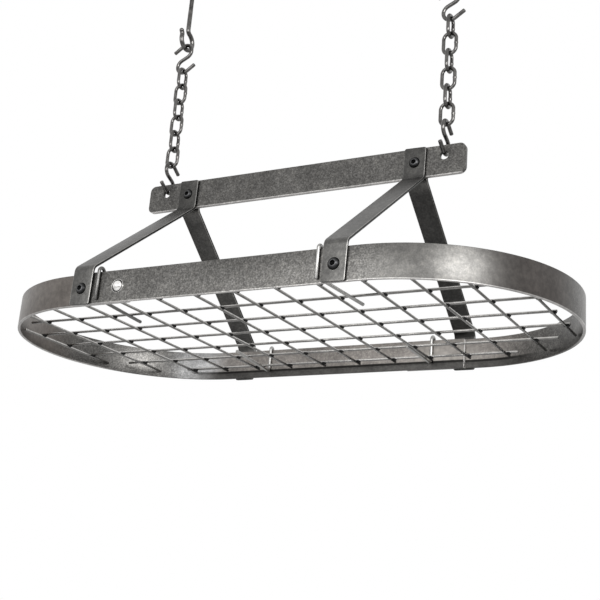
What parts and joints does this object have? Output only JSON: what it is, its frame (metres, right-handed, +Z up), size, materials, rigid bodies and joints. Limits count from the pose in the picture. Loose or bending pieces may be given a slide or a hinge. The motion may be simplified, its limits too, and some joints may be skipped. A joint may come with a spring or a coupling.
{
  "type": "hanging pot rack",
  "caption": "Oval flat-bar pot rack with a wire grid shelf, bent straps to a top bar, and link chains on S-hooks and ceiling screw hooks.",
  "frame": {"origin": "on the ceiling face, midway between the two screw hooks", "axes": "+X along the top bar to the right, -Y towards the front, +Z up into the ceiling"},
  "size_m": [0.7178, 0.3724, 0.5186],
  "materials": {
    "hammered_steel": "hammered dark pewter",
    "strap_steel": "smooth dark pewter",
    "wire_steel": "grey wire",
    "chain_steel": "semi-gloss pewter",
    "black_oxide": "black oxide",
    "bright_nickel": "polished nickel"
  },
  "bodies": {
    "ceiling": {"ceiling_hook_left": "chain_steel", "ceiling_hook_right": "chain_steel"},
    "upper_s_hook_left": {"upper_s_hook_left": "chain_steel"},
    "link_left_1": {"chain_left_1": "chain_steel"},
    "link_left_2": {"chain_left_2": "chain_steel"},
    "link_left_3": {"chain_left_3": "chain_steel"},
    "link_left_4": {"chain_left_4": "chain_steel"},
    "link_left_5": {"chain_left_5": "chain_steel"},
    "link_left_6": {"chain_left_6": "chain_steel"},
    "lower_s_hook_left": {"lower_s_hook_left": "chain_steel"},
    "upper_s_hook_right": {"upper_s_hook_right": "chain_steel"},
    "link_right_1": {"chain_right_1": "chain_steel"},
    "link_right_2": {"chain_right_2": "chain_steel"},
    "link_right_3": {"chain_right_3": "chain_steel"},
    "link_right_4": {"chain_right_4": "chain_steel"},
    "link_right_5": {"chain_right_5": "chain_steel"},
    "link_right_6": {"chain_right_6": "chain_steel"},
    "lower_s_hook_right": {"lower_s_hook_right": "chain_steel"},
    "rack": {"top_bar": "hammered_steel", "strap_front_left": "strap_steel", "strap_front_right": "strap_steel", "strap_back_left": "strap_steel", "strap_back_right": "strap_steel", "frame_left_half": "hammered_steel", "frame_right_half": "hammered_steel", "grid": "wire_steel", "support_front_left": "wire_steel", "support_front_right": "wire_steel", "support_back_left": "wire_steel", "support_back_right": "wire_steel", "screw_front_left": "black_oxide", "screw_front_right": "black_oxide", "screw_back_left": "black_oxide", "screw_back_right": "black_oxide", "joint_bolt_front": "bright_nickel", "joint_bolt_back": "bright_nickel", "bar_bolt_left": "black_oxide", "bar_bolt_right": "black_oxide", "bar_nut_left": "black_oxide", "bar_nut_right": "black_oxide"}
  },
  "joints": [
    {"name": "swing_left", "type": "hinge", "parent": "ceiling", "child": "upper_s_hook_left", "pos_m": [-0.198, 0, -0.04615], "axis": [1, 0, 0], "range_deg": [-9, 9]},
    {"name": "sway_left", "type": "hinge", "parent": "upper_s_hook_left", "child": "link_left_1", "pos_m": [-0.198, 0, -0.08395], "axis": [0, 1, 0], "range_deg": [-8, 8]},
    {"name": "kink_x_left", "type": "hinge", "parent": "link_left_1", "child": "link_left_2", "pos_m": [-0.198, 0, -0.1078], "axis": [1, 0, 0], "range_deg": [-3.5, 3.5]},
    {"name": "kink_y_left", "type": "hinge", "parent": "link_left_2", "child": "link_left_3", "pos_m": [-0.198, 0, -0.13165], "axis": [0, 1, 0], "range_deg": [-3.5, 3.5]},
    {"name": "kink_x_mid_left", "type": "hinge", "parent": "link_left_3", "child": "link_left_4", "pos_m": [-0.198, 0, -0.1555], "axis": [1, 0, 0], "range_deg": [-1.05, 1.05]},
    {"name": "kink_y_back_left", "type": "hinge", "parent": "link_left_4", "child": "link_left_5", "pos_m": [-0.198, 0, -0.17935], "axis": [0, 1, 0], "range_deg": [-3.5, 3.5]},
    {"name": "kink_x_back_left", "type": "hinge", "parent": "link_left_5", "child": "link_left_6", "pos_m": [-0.198, 0, -0.2032], "axis": [1, 0, 0], "range_deg": [-2.45, 2.45]},
    {"name": "level_left", "type": "hinge", "parent": "link_left_6", "child": "lower_s_hook_left", "pos_m": [-0.198, 0, -0.2268], "axis": [0, 1, 0], "range_deg": [-8, 8]},
    {"name": "swing_right", "type": "hinge", "parent": "ceiling", "child": "upper_s_hook_right", "pos_m": [0.198, 0, -0.04615], "axis": [1, 0, 0], "range_deg": [-9, 9]},
    {"name": "sway_right", "type": "hinge", "parent": "upper_s_hook_right", "child": "link_right_1", "pos_m": [0.198, 0, -0.08395], "axis": [0, 1, 0], "range_deg": [-8, 8]},
    {"name": "kink_x_right", "type": "hinge", "parent": "link_right_1", "child": "link_right_2", "pos_m": [0.198, 0, -0.1078], "axis": [1, 0, 0], "range_deg": [-3.5, 3.5]},
    {"name": "kink_y_right", "type": "hinge", "parent": "link_right_2", "child": "link_right_3", "pos_m": [0.198, 0, -0.13165], "axis": [0, 1, 0], "range_deg": [-3.5, 3.5]},
    {"name": "kink_x_mid_right", "type": "hinge", "parent": "link_right_3", "child": "link_right_4", "pos_m": [0.198, 0, -0.1555], "axis": [1, 0, 0], "range_deg": [-1.05, 1.05]},
    {"name": "kink_y_back_right", "type": "hinge", "parent": "link_right_4", "child": "link_right_5", "pos_m": [0.198, 0, -0.17935], "axis": [0, 1, 0], "range_deg": [-3.5, 3.5]},
    {"name": "kink_x_back_right", "type": "hinge", "parent": "link_right_5", "child": "link_right_6", "pos_m": [0.198, 0, -0.2032], "axis": [1, 0, 0], "range_deg": [-2.45, 2.45]},
    {"name": "level_right", "type": "hinge", "parent": "link_right_6", "child": "lower_s_hook_right", "pos_m": [0.198, 0, -0.2268], "axis": [0, 1, 0], "range_deg": [-8, 8]},
    {"name": "pitch", "type": "hinge", "parent": "lower_s_hook_left", "child": "rack", "pos_m": [-0.198, 0, -0.25935], "axis": [1, 0, 0], "range_deg": [-12, 12]}
  ],
  "couplings": [
    {"joint": "kink_x_mid_left", "follows": "kink_x_left", "ratio": -0.3},
    {"joint": "kink_x_back_left", "follows": "kink_x_left", "ratio": -0.7},
    {"joint": "kink_y_back_left", "follows": "kink_y_left", "ratio": -1},
    {"joint": "level_left", "follows": "sway_left", "ratio": -1},
    {"joint": "kink_x_mid_right", "follows": "kink_x_left", "ratio": -0.3},
    {"joint": "kink_x_back_right", "follows": "kink_x_left", "ratio": -0.7},
    {"joint": "kink_y_back_right", "follows": "kink_y_left", "ratio": -1},
    {"joint": "level_right", "follows": "sway_left", "ratio": -1},
    {"joint": "swing_right", "follows": "swing_left", "ratio": 1},
    {"joint": "sway_right", "follows": "sway_left", "ratio": 1},
    {"joint": "kink_x_right", "follows": "kink_x_left", "ratio": 1},
    {"joint": "kink_y_right", "follows": "kink_y_left", "ratio": 1}
  ]
}
